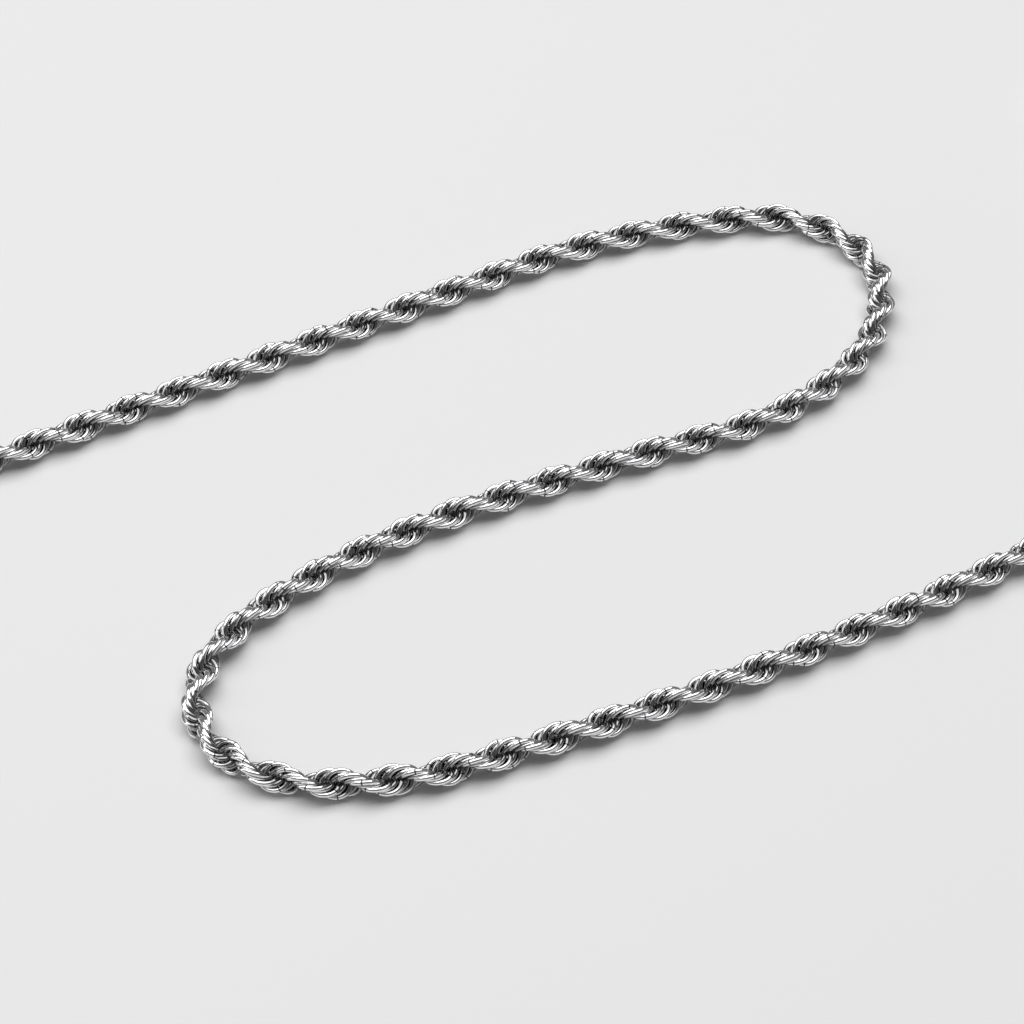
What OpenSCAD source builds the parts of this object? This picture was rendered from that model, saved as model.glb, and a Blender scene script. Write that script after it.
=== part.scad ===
// Rope chain necklace, laid open on a flat surface.
// The chain is a row of small closed round links. Each link is threaded through
// the two before it and turned a little further about the rope's axis, so that
// the two sides of the links build the two strands of a twisted rope.
// One end has a cap, a jump ring and a lobster clasp, the other a cap and a ring.
// X and Y are along the surface, Z is up and Z = 0 is the surface.

/* [Rope] */
// Wire of one link
wire_d = 0.5; // [0.45:0.01:0.5]
// Radius of one link, to the middle of its wire
link_r = 1.4; // [1.4:0.005:1.41]
// Distance along the rope from one link to the next
link_step = 1.12; // [1.115:0.005:1.125]
// Turn about the rope's axis from one link to the next
link_turn = 35.1; // [34.5:0.1:35.5]
// Turn of the first link
first_turn = 0; // [0:5:175]
// Height of the rope's axis over the surface
axis_z = 1.7; // [1.7:0.05:1.9]

/* [Stretches] */
// Stretches of rope that keep their shape
run_count = 22; // [22:1:22]
// Links in each of them
run_links = 13; // [12:1:13]
// Links in each bending zone between two of them
flex_links = 6; // [5:1:6]
// Heading of the rope at the catch end
start_heading = 90.5; // [80:0.5:100]

/* [End caps] */
// Radius of an end cap's barrel
cap_r = 1.6; // [1.5:0.02:1.66]
// Radius of the bead at each end of the barrel
cap_bead_r = 1.7; // [1.66:0.02:1.7]
// How far the soldered cap reaches back over the last links
cap_back = 1.8; // [1.2:0.1:2.2]
// How far the barrel reaches past the last link
cap_front = 2.4; // [2:0.1:3]
// Wire of the eye on a cap
eye_wire = 0.6; // [0.4:0.05:0.6]
// Radius of the eye at the clasp's end
clasp_eye_r = 1.5; // [1.5:0.05:1.6]
// Radius of the eye at the catch ring's end
catch_eye_r = 1.2; // [1.15:0.05:1.2]

/* [Rings] */
// Radius of the jump ring, to the middle of its wire
jump_r = 2.1; // [2:0.1:2.3]
// Wire of the jump ring
jump_wire = 0.6; // [0.5:0.05:0.6]
// Lean of the jump ring, from lying flat
jump_lean = 65; // [60:1:75]
// Radius of the catch ring, to the middle of its wire
catch_r = 2.4; // [2.2:0.1:2.6]
// Wire of the catch ring
catch_wire = 0.7; // [0.6:0.05:0.7]

/* [Clasp] */
// Radius of the claw, to the middle of its bar
claw_r = 2.7; // [2.5:0.1:3]
// Width of the claw's bar
claw_w = 1.3; // [1:0.1:1.4]
// Thickness of the clasp
clasp_h = 2.6; // [2.4:0.1:3]
// Distance from the clasp's eye to its pivot
pivot_out = 4.1; // [4:0.1:4.6]
// Thickness of the trigger
trigger_h = 0.9; // [0.7:0.1:1]
// Diameter of the pivot pin
pin_d = 0.8; // [0.6:0.1:0.8]
// How far the thumb tab stands out from the pivot
tab_out = 3.1; // [2.8:0.1:3.4]

/* [Hidden] */
// where the rope begins, and its stretches as [length, turn to the left]
start_point = [-68.93, -62.51];
stretches = [
    [45, 0], [20, -60], [72, 0], [22, -18], [6, -4], [22, -98], [16, -39], [18, -30],
    [28, 5], [16, 10], [12, 10], [10, 25], [16, 77], [8, 30], [14, 23], [62, 12],
    [10, 0], [20, 57], [60, 0]
];
// running clearance of the trigger on its pin, and of faces that pass each other
pin_gap = 0.04;
side_gap = 0.1;
link_fn = 48;
wire_fn = 16;
round_fn = 48;

link_count = run_count * run_links + (run_count - 1) * flex_links;
rope_length = link_count * link_step;
run_stride = run_links + flex_links;
cap_dome = 1;
eye_sink = 0.15;
claw_out = pivot_out + claw_r + 0.7;
slot_h = trigger_h + 2 * side_gap;
hub_r = 1.35;
neck_r = 1.75;
// the claw's nose ends at this angle, and the gate begins to fill the mouth at the pivot
nose_angle = -52;
gate_angle = 212;
catch_lift = eye_wire / 2 + catch_wire / 2 + 0.05;
// the gate is cut round about the pivot, so that it swings past the nose
nose_place = [claw_out - pivot_out + claw_r * cos(nose_angle), claw_r * sin(nose_angle)];
gate_reach = norm(nose_place) - claw_w / 2 - 0.06;

function numbered(word, n) = str(word, n < 10 ? "_0" : "_", n);
RUNS = [for (n = [1:run_count]) numbered("run", n)];
FLEXES = [for (n = [1:run_count - 1]) numbered("flex", n)];

// how far one moves along a stretch of even curve that starts at a heading
function advance(heading, len, turn) =
    turn == 0
        ? len * [cos(heading), sin(heading)]
        : len * 180 / (PI * turn)
            * [sin(heading + turn) - sin(heading), cos(heading) - cos(heading + turn)];

last = len(stretches) - 1;
starts = [for (i = 0, s = 0; i <= last; s = s + stretches[i][0], i = i + 1) s];
headings = [
    for (i = 0, h = start_heading; i <= last; h = h + stretches[i][1], i = i + 1) h
];
corners = [
    for (i = 0, p = start_point; i <= last;
         p = p + advance(headings[i], stretches[i][0], stretches[i][1]), i = i + 1) p
];

function stretch_at(s) = max([for (i = [0:last]) if (starts[i] <= s) i]);

// [x, y, heading] at the length s along the rope
function spot(s) =
    let (
        i = stretch_at(max(s, 0)),
        along = s - starts[i],
        turn = stretches[i][1] * along / stretches[i][0],
        p = corners[i] + advance(headings[i], along, turn)
    )
    [p.x, p.y, headings[i] + turn];

module on_rope(s) {
    place = spot(s);
    translate([place.x, place.y, 0]) rotate([0, 0, place.z]) children();
}

// a round wire ring in the XY plane
module wire_ring(radius, wire) {
    rotate_extrude($fn = link_fn) translate([radius, 0]) circle(d = wire, $fn = wire_fn);
}

// the links numbered from first to first + count - 1
module links(first, count) {
    for (i = [first:first + count - 1])
        on_rope((i + 0.5) * link_step)
            translate([0, 0, axis_z])
                rotate([first_turn + i * link_turn, 0, 0])
                    wire_ring(link_r, wire_d);
}

module run(n) {
    color([0.78, 0.78, 0.79]) links((n - 1) * run_stride, run_links);
}

module flex(n) {
    color([0.72, 0.72, 0.74]) links((n - 1) * run_stride + run_links, flex_links);
}

// a frame at an end of the rope with X pointing away from the rope
module past_clasp_end() {
    on_rope(rope_length) children();
}

module past_catch_end() {
    on_rope(0) rotate([0, 0, 180]) children();
}

// the cap's turned barrel with a bead at each end and a domed nose, along X
module cap_barrel() {
    rotate([0, 90, 0])
        rotate_extrude($fn = round_fn)
            polygon([
                [0, -cap_back],
                [cap_bead_r, -cap_back],
                [cap_bead_r, -cap_back + 0.5],
                [cap_r, -cap_back + 0.6],
                [cap_r, cap_front - 0.6],
                [cap_bead_r, cap_front - 0.5],
                [cap_bead_r, cap_front],
                [cap_r - 0.2, cap_front + 0.35 * cap_dome],
                [cap_r - 0.6, cap_front + 0.75 * cap_dome],
                [0, cap_front + cap_dome]
            ]);
}

function eye_out(eye_r) = cap_front + cap_dome + eye_r + eye_wire / 2 - eye_sink - 0.2;

module end_cap(eye_r, roll) {
    translate([0, 0, axis_z]) {
        cap_barrel();
        translate([eye_out(eye_r), 0, 0]) rotate([roll, 0, 0]) wire_ring(eye_r, eye_wire);
    }
}

module clasp_end_cap() {
    color([0.8, 0.8, 0.81]) past_clasp_end() end_cap(clasp_eye_r, 0);
}

module catch_end_cap() {
    color([0.8, 0.8, 0.81]) past_catch_end() end_cap(catch_eye_r, 90);
}

// the jump ring leans over and passes down through both flat eyes
jump_near = 0.3;
jump_z = jump_r * sin(jump_lean) + jump_wire / 2 + 0.02;
jump_out = eye_out(clasp_eye_r) - jump_near + jump_r;
module clasp_jump_ring() {
    color([0.8, 0.8, 0.81])
        past_clasp_end()
            translate([jump_out, 0, jump_z])
                rotate([jump_lean, 0, 0])
                    wire_ring(jump_r, jump_wire);
}

// the catch ring passes through the upright eye and rests on the surface
catch_near_z = axis_z - catch_eye_r + catch_lift;
catch_far_z = catch_wire / 2 + 0.01;
catch_pitch = asin((catch_near_z - catch_far_z) / (2 * catch_r));
module catch_ring() {
    color([0.8, 0.8, 0.81])
        past_catch_end()
            translate([eye_out(catch_eye_r), 0, catch_near_z])
                rotate([0, catch_pitch, 0])
                    translate([catch_r, 0, 0])
                        wire_ring(catch_r, catch_wire);
}

// the clasp's own frame: X from its eye to its nose, origin in the middle of the eye
module in_clasp() {
    past_clasp_end() translate([jump_out + jump_r + jump_near, 0, axis_z]) children();
}

module slab(h) {
    linear_extrude(height = h, center = true) children();
}

// a bar bent round the claw's middle from one angle to another
module claw_arc(from, to, width, h) {
    translate([claw_out, 0, 0])
        rotate([0, 0, from])
            rotate_extrude(angle = to - from, $fn = round_fn)
                translate([claw_r, 0])
                    square([width, h], center = true);
}

module claw_nose(width, h) {
    translate([claw_out + claw_r * cos(nose_angle), claw_r * sin(nose_angle), 0])
        cylinder(d = width, h = h, center = true, $fn = round_fn);
}

module neck_outline() {
    hull() {
        translate([1.9, 0]) circle(r = 0.8, $fn = 32);
        translate([pivot_out, 0]) circle(r = neck_r, $fn = 32);
    }
}

module pin_hole() {
    translate([pivot_out, 0, 0])
        cylinder(d = pin_d, h = 2 * clasp_h, center = true, $fn = round_fn);
}

module clasp_body() {
    color([0.8, 0.8, 0.81])
        in_clasp() {
            difference() {
                union() {
                    wire_ring(clasp_eye_r, eye_wire);
                    slab(clasp_h) neck_outline();
                    claw_arc(nose_angle, 180, claw_w, clasp_h);
                    claw_nose(claw_w, clasp_h);
                }
                // the slot that the trigger turns in
                translate([pivot_out - 1.5, -5, -slot_h / 2]) cube([3.9, 10, slot_h]);
                pin_hole();
                // the mouth's tail side, cleared for the gate
                translate([claw_out, 0, 0])
                    cylinder(r = claw_r - claw_w / 2, h = 2 * clasp_h, center = true, $fn = round_fn);
            }
        }
}

module clasp_trigger() {
    color([0.75, 0.75, 0.77])
        in_clasp()
            difference() {
                union() {
                    translate([pivot_out, 0, 0])
                        cylinder(r = hub_r, h = trigger_h, center = true, $fn = round_fn);
                    intersection() {
                        claw_arc(gate_angle - 14, 360 + nose_angle - 10, claw_w - 0.5, trigger_h);
                        translate([pivot_out, 0, 0])
                            cylinder(r = gate_reach, h = 2 * clasp_h, center = true,
                                     $fn = round_fn);
                    }
                    translate([pivot_out - 0.35, 0, -trigger_h / 2])
                        cube([0.9, tab_out, trigger_h]);
                    translate([pivot_out + 0.1, tab_out, 0])
                        cylinder(d = 1.1, h = trigger_h, center = true, $fn = round_fn);
                }
                translate([pivot_out, 0, 0])
                    cylinder(d = pin_d + 2 * pin_gap, h = 2 * clasp_h, center = true,
                             $fn = round_fn);
            }
}

module clasp_pin() {
    color([0.7, 0.7, 0.72])
        in_clasp()
            translate([pivot_out, 0, 0])
                cylinder(d = pin_d, h = clasp_h, center = true, $fn = round_fn);
}

// a bent leaf in the slot behind the trigger's hub
module clasp_spring() {
    color([0.6, 0.6, 0.62])
        in_clasp()
            translate([pivot_out - hub_r - 0.11, -0.6, -trigger_h / 2])
                cube([0.08, 1.2, trigger_h]);
}

for (n = [1:run_count]) {
    run(n);
}
for (n = [1:run_count - 1]) {
    flex(n);
}
clasp_end_cap();
clasp_jump_ring();
clasp_body();
clasp_trigger();
clasp_pin();
clasp_spring();
catch_end_cap();
catch_ring();
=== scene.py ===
import math
import bpy
import numpy as np
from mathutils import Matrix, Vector


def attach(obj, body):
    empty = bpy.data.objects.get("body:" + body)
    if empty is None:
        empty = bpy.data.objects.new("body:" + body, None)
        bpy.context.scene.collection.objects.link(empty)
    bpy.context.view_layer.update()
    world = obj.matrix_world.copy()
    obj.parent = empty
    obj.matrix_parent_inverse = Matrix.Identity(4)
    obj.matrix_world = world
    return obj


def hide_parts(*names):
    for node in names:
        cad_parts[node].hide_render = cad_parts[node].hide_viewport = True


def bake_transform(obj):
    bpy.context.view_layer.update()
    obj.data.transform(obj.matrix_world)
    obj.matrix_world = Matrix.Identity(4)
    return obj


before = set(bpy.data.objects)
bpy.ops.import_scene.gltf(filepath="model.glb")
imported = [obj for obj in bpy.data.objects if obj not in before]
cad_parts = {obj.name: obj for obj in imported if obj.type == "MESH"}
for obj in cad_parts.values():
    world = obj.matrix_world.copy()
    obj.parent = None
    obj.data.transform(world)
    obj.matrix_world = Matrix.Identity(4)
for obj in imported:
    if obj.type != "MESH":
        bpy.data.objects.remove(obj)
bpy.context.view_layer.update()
mm = 0.001  # everything below is in millimetres and is made metres here

# the path that the rope lies on: where it starts, and its stretches as [length, turn to the left]
rope = {
    "start": (-68.93, -62.51),
    "heading": 90.5,
    "axisHeight": 1.7,
    "runCount": 22,
    "runLinks": 13,
    "flexLinks": 6,
    "step": 1.12,
    "turn": 35.1,
    "rootRun": 11,
    "stretches": [
        (45, 0), (20, -60), (72, 0), (22, -18), (6, -4), (22, -98), (16, -39), (18, -30),
        (28, 5), (16, 10), (12, 10), (10, 25), (16, 77), (8, 30), (14, 23), (62, 12),
        (10, 0), (20, 57), (60, 0),
    ],
}
ropeStride = rope["runLinks"] + rope["flexLinks"]
linkCount = rope["runCount"] * ropeStride - rope["flexLinks"]
ropeLength = linkCount * rope["step"]


def advance(heading, length, turn):
    # a stretch of even curve: radius = length / turn, the chord from the two headings
    a, t = math.radians(heading), math.radians(turn)
    if turn == 0:
        return np.array([math.cos(a), math.sin(a)]) * length
    return np.array([math.sin(a + t) - math.sin(a), math.cos(a) - math.cos(a + t)]) * length / t


pathStarts, pathHeadings, pathCorners = [0.0], [rope["heading"]], [np.array(rope["start"])]
for length, turn in rope["stretches"]:
    pathCorners.append(pathCorners[-1] + advance(pathHeadings[-1], length, turn))
    pathStarts.append(pathStarts[-1] + length)
    pathHeadings.append(pathHeadings[-1] + turn)


def spotAt(s):
    # x, y in millimetres and the heading in radians, at the length s along the rope
    k = max(i for i in range(len(rope["stretches"])) if pathStarts[i] <= max(s, 0.0))
    length, turn = rope["stretches"][k]
    part = turn * (s - pathStarts[k]) / length
    p = pathCorners[k] + advance(pathHeadings[k], s - pathStarts[k], part)
    return p[0], p[1], math.radians(pathHeadings[k] + part)


def turnAbout(axis, angle):
    # the rotation matrices about one of the three axes, for an array of angles
    angle = np.asarray(angle, float)
    c, s, z, o = np.cos(angle), np.sin(angle), np.zeros_like(angle), np.ones_like(angle)
    rows = {
        "x": [[o, z, z], [z, c, -s], [z, s, c]],
        "y": [[c, z, s], [z, o, z], [-s, z, c]],
        "z": [[c, -s, z], [s, c, z], [z, z, o]],
    }[axis]
    return np.moveaxis(np.array(rows), (0, 1), (-2, -1))


# ---- camera, looking down on the loose S
view = {"elevation": 42.0, "distance": 418.8, "lens": 138.6, "target": (1.63, -3.91, 0.0)}


def makeCamera():
    cam = bpy.data.cameras.new("viewCamera")
    cam.lens = view["lens"]
    cam.clip_end = 10.0
    cam.dof.use_dof = False
    obj = bpy.data.objects.new("viewCamera", cam)
    bpy.context.scene.collection.objects.link(obj)
    e = math.radians(view["elevation"])
    target = Vector(view["target"]) * mm
    obj.location = target + Vector((0, -math.cos(e), math.sin(e))) * view["distance"] * mm
    obj.rotation_euler = (target - obj.location).to_track_quat("-Z", "Y").to_euler()
    bpy.context.scene.camera = obj


makeCamera()

# ---- materials
metal = {
    "silver": (0.87, 0.87, 0.875),
    "wearScale": 900.0,
    "hairlineScale": 2600.0,
    "hairlineDepth": 0.00002,  # metres
    "seamColor": (0.10, 0.10, 0.11, 1.0),
    "seamEdges": (0.004, 0.012),  # where the seam's dark begins and ends, as shares of the ring
    "paintedShadeEdges": (0.50, 0.84),  # painted shade toward the rope's axis: full inside the first share, none past the second, as shares of the way out from the rope's axis
    # painted shade: the multiplier on the base colour at the rope's axis
    "paintedShadeLevel": 0.3,
}


def makeWearGroup():
    # soft patches and hairlines from noise on object coordinates: a roughness and a height
    group = bpy.data.node_groups.new("metalWear", "ShaderNodeTree")
    for name, value in (("Patch Scale", 900.0), ("Hairline Scale", 2600.0),
                        ("Low Roughness", 0.07), ("High Roughness", 0.2)):
        socket = group.interface.new_socket(name=name, in_out="INPUT", socket_type="NodeSocketFloat")
        socket.default_value = value
    group.interface.new_socket(name="Roughness", in_out="OUTPUT", socket_type="NodeSocketFloat")
    group.interface.new_socket(name="Height", in_out="OUTPUT", socket_type="NodeSocketFloat")
    nodes, links = group.nodes, group.links
    inside, outside = nodes.new("NodeGroupInput"), nodes.new("NodeGroupOutput")
    coords = nodes.new("ShaderNodeTexCoord")
    patch = nodes.new("ShaderNodeTexNoise")
    patch.inputs["Detail"].default_value = 3.0
    hair = nodes.new("ShaderNodeTexNoise")
    hair.inputs["Detail"].default_value = 2.0
    hair.inputs["Distortion"].default_value = 2.5
    spread = nodes.new("ShaderNodeMapRange")
    spread.inputs["From Min"].default_value = 0.35
    spread.inputs["From Max"].default_value = 0.7
    for noise, scale in ((patch, "Patch Scale"), (hair, "Hairline Scale")):
        links.new(coords.outputs["Object"], noise.inputs["Vector"])
        links.new(inside.outputs[scale], noise.inputs["Scale"])
    links.new(patch.outputs["Fac"], spread.inputs["Value"])
    links.new(inside.outputs["Low Roughness"], spread.inputs["To Min"])
    links.new(inside.outputs["High Roughness"], spread.inputs["To Max"])
    links.new(spread.outputs["Result"], outside.inputs["Roughness"])
    links.new(hair.outputs["Fac"], outside.inputs["Height"])
    return group


wearGroup = makeWearGroup()


def makeMetal(name, color, low, high, bump=0.06, seamAt=None):
    # polished metal; with seamAt, a dark soldered cut crosses the wire at that share of its round,
    # and painted shade darkens the base colour toward the rope's axis
    mat = bpy.data.materials.new(name)
    mat.use_nodes = True
    nodes, links = mat.node_tree.nodes, mat.node_tree.links
    shader = nodes["Principled BSDF"]
    shader.inputs["Metallic"].default_value = 1.0
    shader.inputs["Base Color"].default_value = (*color, 1.0)
    wear = nodes.new("ShaderNodeGroup")
    wear.node_tree = wearGroup
    wear.inputs["Patch Scale"].default_value = metal["wearScale"]
    wear.inputs["Hairline Scale"].default_value = metal["hairlineScale"]
    wear.inputs["Low Roughness"].default_value = low
    wear.inputs["High Roughness"].default_value = high
    links.new(wear.outputs["Roughness"], shader.inputs["Roughness"])
    bumpNode = nodes.new("ShaderNodeBump")
    bumpNode.inputs["Strength"].default_value = bump
    bumpNode.inputs["Distance"].default_value = metal["hairlineDepth"]
    links.new(bumpNode.outputs["Normal"], shader.inputs["Normal"])
    if seamAt is None:
        links.new(wear.outputs["Height"], bumpNode.inputs["Height"])
        return mat
    uv = nodes.new("ShaderNodeUVMap")
    uv.uv_map = "wireMap"
    split = nodes.new("ShaderNodeSeparateXYZ")
    offset = nodes.new("ShaderNodeMath")
    offset.operation = "SUBTRACT"
    offset.inputs[1].default_value = seamAt
    away = nodes.new("ShaderNodeMath")
    away.operation = "ABSOLUTE"
    cut = nodes.new("ShaderNodeMapRange")
    cut.interpolation_type = "SMOOTHSTEP"
    cut.inputs["From Min"].default_value = metal["seamEdges"][0]
    cut.inputs["From Max"].default_value = metal["seamEdges"][1]
    tint = nodes.new("ShaderNodeMix")
    tint.data_type = "RGBA"
    tint.inputs["A"].default_value = metal["seamColor"]
    tint.inputs["B"].default_value = (*color, 1.0)
    deep = nodes.new("ShaderNodeMath")
    deep.operation = "MULTIPLY_ADD"
    deep.inputs[1].default_value = 0.15
    links.new(uv.outputs["UV"], split.inputs["Vector"])
    links.new(split.outputs["X"], offset.inputs[0])
    links.new(offset.outputs["Value"], away.inputs[0])
    links.new(away.outputs["Value"], cut.inputs["Value"])
    # painted shade near the rope's axis: the base colour is darkened there, between the links
    paintedShadeRamp = nodes.new("ShaderNodeMapRange")
    paintedShadeRamp.interpolation_type = "SMOOTHSTEP"
    paintedShadeRamp.inputs["From Min"].default_value = metal["paintedShadeEdges"][0]
    paintedShadeRamp.inputs["From Max"].default_value = metal["paintedShadeEdges"][1]
    paintedShadeRamp.inputs["To Min"].default_value = metal["paintedShadeLevel"]
    paintedShadeMix = nodes.new("ShaderNodeMix")
    paintedShadeMix.data_type = "RGBA"
    paintedShadeMix.blend_type = "MULTIPLY"
    paintedShadeMix.inputs["Factor"].default_value = 1.0
    links.new(split.outputs["Y"], paintedShadeRamp.inputs["Value"])
    links.new(cut.outputs["Result"], tint.inputs["Factor"])
    links.new(tint.outputs["Result"], paintedShadeMix.inputs["A"])
    links.new(paintedShadeRamp.outputs["Result"], paintedShadeMix.inputs["B"])
    links.new(paintedShadeMix.outputs["Result"], shader.inputs["Base Color"])
    links.new(wear.outputs["Height"], deep.inputs[0])
    links.new(cut.outputs["Result"], deep.inputs[2])
    links.new(deep.outputs["Value"], bumpNode.inputs["Height"])
    return mat


linkMetal = makeMetal("polishedLinkWire", metal["silver"], 0.06, 0.16, seamAt=0.25)
print("stage 2: materials made")

# ---- the links
link = {
    "perPlace": 2,  # sprung links in the place of one stiff link
    "radius": 1.24,
    "long": 1.18,  # how much longer than wide a link is
    "offset": 0.15,
    "wire": 0.53,
    "around": 14,  # points round the link, and round its wire, before it is subdivided
    "section": 6,
    "jitterTurn": 0.5,  # degrees that a link sits off its even place
    "jitterShift": 0.008,
    "seamDrift": 0.22,  # how far a seam may sit from its even place, as a share of the ring
    "seed": 12,
}


def gridFaces(rows, columns):
    # quads of a grid closed both ways, and the share of each way at each corner
    i, j = np.meshgrid(np.arange(rows), np.arange(columns), indexing="ij")
    i, j = i.ravel(), j.ravel()
    i2, j2 = (i + 1) % rows, (j + 1) % columns
    quads = np.stack([i * columns + j, i2 * columns + j, i2 * columns + j2, i * columns + j2], 1)
    u = np.stack([i, i + 1, i + 1, i], 1) / rows
    v = np.stack([j, j, j + 1, j + 1], 1) / columns
    return quads, np.stack([u, v], 2)


def ringGrid(radius, wire, around, section):
    # a torus: distance from the middle = radius + wire / 2 * cos b, height = wire / 2 * sin b
    a, b = np.meshgrid(np.arange(around) * 2 * np.pi / around,
                       np.arange(section) * 2 * np.pi / section, indexing="ij")
    out = radius + wire / 2 * np.cos(b)
    points = np.stack([out * np.cos(a), out * np.sin(a), wire / 2 * np.sin(b)], 2).reshape(-1, 3)
    return points, *gridFaces(around, section)


def coarseRing(radius, wire, around, section):
    # subdividing pulls a coarse ring inward: both of its roundings are made larger by that much
    shrink = [(6 + 2 * math.cos(2 * math.pi / n)) / 8 for n in (around, section)]
    return ringGrid(radius / shrink[0], wire / shrink[1], around, section)


def smoothMesh(name, vertices, quads, uv, material):
    mesh = bpy.data.meshes.new(name)
    mesh.from_pydata(vertices.tolist(), [], quads.tolist())
    layer = mesh.uv_layers.new(name="wireMap")
    layer.data.foreach_set("uv", uv.reshape(-1).astype(np.float32))
    mesh.polygons.foreach_set("use_smooth", np.ones(len(quads), bool))
    mesh.materials.append(material)
    mesh.update()
    obj = bpy.data.objects.new(name, mesh)
    bpy.context.scene.collection.objects.link(obj)
    return obj


def subdivide(obj, levels=1):
    mod = obj.modifiers.new("round", "SUBSURF")
    mod.levels = levels
    mod.render_levels = levels


coarseLink = coarseRing(link["radius"], link["wire"], link["around"], link["section"])
fineLink = ringGrid(link["radius"], link["wire"], 2 * link["around"], 2 * link["section"])
draws = np.random.default_rng(link["seed"])
drawShape = (linkCount * link["perPlace"], 3)
jitterTurns = np.radians(draws.uniform(-1, 1, drawShape) * link["jitterTurn"])
jitterShifts = draws.uniform(-1, 1, drawShape) * link["jitterShift"]
seamShifts = draws.uniform(-1, 1, drawShape[0]) * link["seamDrift"]


def linkGroup(name, firstPlace, placeCount, shape):
    # each link: its own small jitter, the rope's turn about its axis, then its place on the path
    points, linkQuads, linkUv = shape
    points = points * (link["long"], 1, 1)
    count = placeCount * link["perPlace"]
    number = np.arange(count) + firstPlace * link["perPlace"]
    along = (number + 0.5) / link["perPlace"]
    spots = np.array([spotAt(s * rope["step"]) for s in along])
    roll = np.radians((along - 0.5) * rope["turn"] + 180 * number)
    own = (turnAbout("x", jitterTurns[number, 0]) @ turnAbout("y", jitterTurns[number, 1])
           @ turnAbout("z", jitterTurns[number, 2]))
    lay = turnAbout("z", spots[:, 2]) @ turnAbout("x", roll)
    local = np.einsum("nij,pj->npi", own, points)
    local += (jitterShifts[number] + (0, link["offset"], 0))[:, None]
    # distance from the rope's axis as a share; it goes to the second UV share and sets the painted
    # shade near the axis
    outward = np.hypot(local[..., 1], local[..., 2])
    outward /= link["radius"] + link["offset"] + link["wire"] / 2
    moved = np.einsum("nij,npj->npi", lay, local)
    moved += np.stack([spots[:, 0], spots[:, 1], np.full(count, rope["axisHeight"])], 1)[:, None]
    quads = (linkQuads[None] + (np.arange(count) * len(points))[:, None, None]).reshape(-1, 4)
    uv = np.tile(linkUv[None], (count, 1, 1, 1))
    uv[..., 0] += seamShifts[number][:, None, None]
    uv[..., 1] = outward[:, linkQuads]
    return smoothMesh(name, moved.reshape(-1, 3) * mm, quads, uv, linkMetal)


def bodyOf(run):
    return "stretch_%02d" % run


for run in range(1, rope["runCount"] + 1):
    piece = linkGroup("linksRun%02d" % run, (run - 1) * ropeStride, rope["runLinks"], coarseLink)
    subdivide(piece)
    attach(piece, bodyOf(run))
    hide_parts("run_%02d" % run)

for bend in range(1, rope["runCount"]):
    first = (bend - 1) * ropeStride + rope["runLinks"]
    piece = linkGroup("linksFlex%02d" % bend, first, rope["flexLinks"], fineLink)
    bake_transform(piece)
    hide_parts("flex_%02d" % bend)
print("stage 3: links made", linkCount)

# ---- the two ends
ends = {
    "eyeWire": 0.6,
    "claspEye": 1.5,
    "catchEye": 1.2,
    "eyeSunk": 0.35,  # how deep an eye's foot sits in its dome
    "capFront": 2.4,
    "capDome": 1.0,
    # the barrel's outline as distance along the rope's axis and radius
    "barrel": ((-1.8, 0.0), (-1.8, 1.3), (-1.8, 1.68), (-1.55, 1.695), (-1.3, 1.69), (-1.2, 1.56),
               (-1.1, 1.56), (1.7, 1.56), (1.8, 1.56), (1.9, 1.68), (2.15, 1.695), (2.4, 1.68),
               (2.5, 1.5), (2.8, 1.36), (3.2, 0.95), (3.39, 0.4), (3.40, 0.0)),
    "barrelTurns": 64,
    "jumpRadius": 2.1,
    "jumpWire": 0.6,
    "jumpLean": 65.0,
    "jumpNear": 0.3,  # how far the jump ring reaches back past its eye's middle
    "jumpLift": 0.02,
    "catchRadius": 2.4,
    "catchWire": 0.69,
    "catchGap": 0.05,  # between the catch ring's near side and its eye
    "catchLift": 0.01,
}


def eyeOut(radius):
    return ends["capFront"] + ends["capDome"] + radius + ends["eyeWire"] / 2 - ends["eyeSunk"]


def atEnd(s, flip):
    # the frame at an end of the rope, x away from the rope: a rotation and a place
    x, y, heading = spotAt(s)
    return turnAbout("z", heading + (math.pi if flip else 0.0)), np.array([x, y, 0.0])


def roundOff(line, times=2):
    # every corner is cut at a quarter and at three quarters of the sides beside it
    line = np.array(line, float)
    for _ in range(times):
        a, b = line[:-1], line[1:]
        cut = np.stack([0.75 * a + 0.25 * b, 0.25 * a + 0.75 * b], 1).reshape(-1, 2)
        line = np.concatenate([line[:1], cut[1:-1], line[-1:]])
    return line


def turned(outline, turns):
    # an outline of (along, radius) spun about the x axis, closed by one point at each end
    inner = outline[1:-1]
    a = np.arange(turns) * 2 * np.pi / turns
    rings = np.stack([np.repeat(inner[:, :1], turns, 1), inner[:, 1:] * np.cos(a),
                      inner[:, 1:] * np.sin(a)], 2).reshape(-1, 3)
    poles = np.array([[outline[0, 0], 0, 0], [outline[-1, 0], 0, 0]])
    i, j = np.meshgrid(np.arange(len(inner) - 1), np.arange(turns), indexing="ij")
    i, j, j2 = i.ravel(), j.ravel(), (j.ravel() + 1) % turns
    sides = np.stack([i * turns + j, (i + 1) * turns + j, (i + 1) * turns + j2, i * turns + j2], 1)
    k, k2 = np.arange(turns), (np.arange(turns) + 1) % turns
    base, first, last = (len(inner) - 1) * turns, len(rings), len(rings) + 1
    lids = np.concatenate([np.stack([k2, np.full(turns, first), k], 1),
                           np.stack([base + k, np.full(turns, last), base + k2], 1)])
    return np.concatenate([rings, poles]), sides[:, ::-1], lids[:, ::-1]


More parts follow.
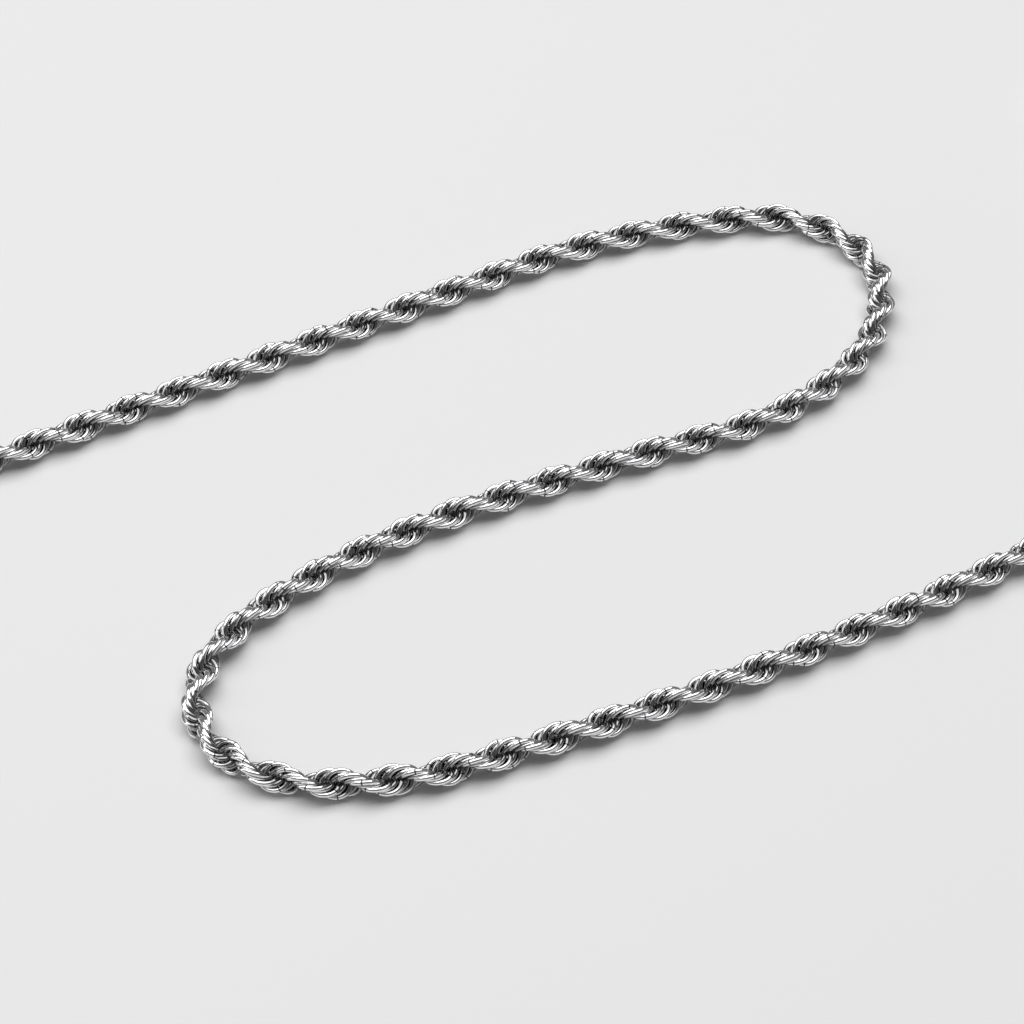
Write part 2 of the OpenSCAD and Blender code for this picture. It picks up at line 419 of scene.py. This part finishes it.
def solidOf(name, parts, material, place):
    # closed shells joined in one mesh, each (points, list of face arrays), put in its place
    turn, move = place
    points, faces, first = [], [], 0
    for shell, faceSets in parts:
        points.append(shell)
        for group in faceSets:
            faces += (group + first).tolist()
        first += len(shell)
    mesh = bpy.data.meshes.new(name)
    mesh.from_pydata(((np.concatenate(points) @ turn.T + move) * mm).tolist(), [], faces)
    mesh.polygons.foreach_set("use_smooth", np.ones(len(faces), bool))
    mesh.materials.append(material)
    mesh.update()
    obj = bpy.data.objects.new(name, mesh)
    bpy.context.scene.collection.objects.link(obj)
    return obj


def ringShell(radius, wire, turn, middle):
    points, quads, _ = ringGrid(radius, wire, 72, 24)
    return points @ turn.T + np.array(middle), [quads]


capMetal = makeMetal("polishedCap", metal["silver"], 0.05, 0.14, bump=0.03)
ringMetal = makeMetal("polishedRing", metal["silver"], 0.05, 0.15, bump=0.04)
claspMetal = makeMetal("polishedClasp", (0.78, 0.78, 0.79), 0.06, 0.17, bump=0.05)
triggerMetal = makeMetal("polishedTrigger", (0.75, 0.75, 0.77), 0.08, 0.2, bump=0.05)
pinMetal = makeMetal("brushedPin", (0.70, 0.70, 0.72), 0.18, 0.32, bump=0.08)
springMetal = makeMetal("springLeaf", (0.60, 0.60, 0.62), 0.2, 0.35, bump=0.05)
high = rope["axisHeight"]
claspEnd, catchEnd = atEnd(ropeLength, False), atEnd(0.0, True)
for name, body, radius, roll, place in (
        ("clasp_end_cap", "stretch_22", ends["claspEye"], 0.0, claspEnd),
        ("catch_end_cap", "stretch_01", ends["catchEye"], math.pi / 2, catchEnd)):
    barrel, sides, lids = turned(roundOff(ends["barrel"]), ends["barrelTurns"])
    eye = ringShell(radius, ends["eyeWire"], turnAbout("x", roll), (eyeOut(radius), 0, high))
    piece = solidOf(name + "_polished", [(barrel + (0, 0, high), [sides, lids]), eye],
                    capMetal, place)
    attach(piece, body)
    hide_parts(name)

lean = math.radians(ends["jumpLean"])
jumpMiddle = (eyeOut(ends["claspEye"]) - ends["jumpNear"] + ends["jumpRadius"], 0,
              ends["jumpRadius"] * math.sin(lean) + ends["jumpWire"] / 2 + ends["jumpLift"])
piece = solidOf("jumpRing", [ringShell(ends["jumpRadius"], ends["jumpWire"],
                                       turnAbout("x", lean), jumpMiddle)], ringMetal, claspEnd)
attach(piece, "jump_ring")
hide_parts("clasp_jump_ring")

catchNear = high - ends["catchEye"] + (ends["eyeWire"] + ends["catchWire"]) / 2 + ends["catchGap"]
pitch = math.asin((catchNear - ends["catchWire"] / 2 - ends["catchLift"]) / (2 * ends["catchRadius"]))
tilt = turnAbout("y", pitch)
catchMiddle = (tilt @ (ends["catchRadius"], 0, 0)) + (eyeOut(ends["catchEye"]), 0, catchNear)
piece = solidOf("catchRing", [ringShell(ends["catchRadius"], ends["catchWire"], tilt,
                                        catchMiddle)], ringMetal, catchEnd)
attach(piece, "catch_ring")
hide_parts("catch_ring")

for name, material in (("clasp_body", claspMetal), ("clasp_trigger", triggerMetal),
                       ("clasp_pin", pinMetal), ("clasp_spring", springMetal)):
    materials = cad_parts[name].data.materials
    for k in range(len(materials)):
        materials[k] = material
print("stage 4: ends made")

# ---- floor and light
studio = {
    "floor": 0.80,
    "floorSize": 6000.0,
    "fill": 0.21,
    "fillColor": (0.9, 0.9, 0.92, 1.0),
    # each softbox as place, size and power
    "keyBox": ((-60, 190, 950), (1500, 1000), 11.6),
    "leftBox": ((-520, -60, 240), (90, 420), 0.35),
}


def makeFloor():
    h = studio["floorSize"] / 2 * mm
    mesh = bpy.data.meshes.new("paleFloor")
    mesh.from_pydata([(-h, -h, 0), (h, -h, 0), (h, h, 0), (-h, h, 0)], [], [(0, 1, 2, 3)])
    mat = bpy.data.materials.new("paleFloorPaper")
    mat.use_nodes = True
    shader = mat.node_tree.nodes["Principled BSDF"]
    shader.inputs["Base Color"].default_value = (studio["floor"],) * 3 + (1.0,)
    shader.inputs["Roughness"].default_value = 0.7
    shader.inputs["Specular IOR Level"].default_value = 0.2
    mesh.materials.append(mat)
    obj = bpy.data.objects.new("paleFloor", mesh)
    bpy.context.scene.collection.objects.link(obj)


def softbox(name, place, size, energy):
    # a rectangle of light that looks at the middle of the frame
    lamp = bpy.data.lights.new(name, "AREA")
    lamp.shape = "RECTANGLE"
    lamp.size, lamp.size_y = size[0] * mm, size[1] * mm
    lamp.energy = energy
    obj = bpy.data.objects.new(name, lamp)
    obj.location = Vector(place) * mm
    obj.rotation_euler = (-obj.location).to_track_quat("-Z", "Y").to_euler()
    bpy.context.scene.collection.objects.link(obj)


def makeWorld():
    world = bpy.data.worlds.new("studioWorld")
    bpy.context.scene.world = world
    world.use_nodes = True
    back = world.node_tree.nodes["Background"]
    back.inputs["Color"].default_value = studio["fillColor"]
    back.inputs["Strength"].default_value = studio["fill"]


makeFloor()
makeWorld()
for name in ("keyBox", "leftBox"):
    softbox(name, *studio[name])
bpy.context.scene.view_settings.view_transform = "Standard"
print("stage 5: floor and lights made")
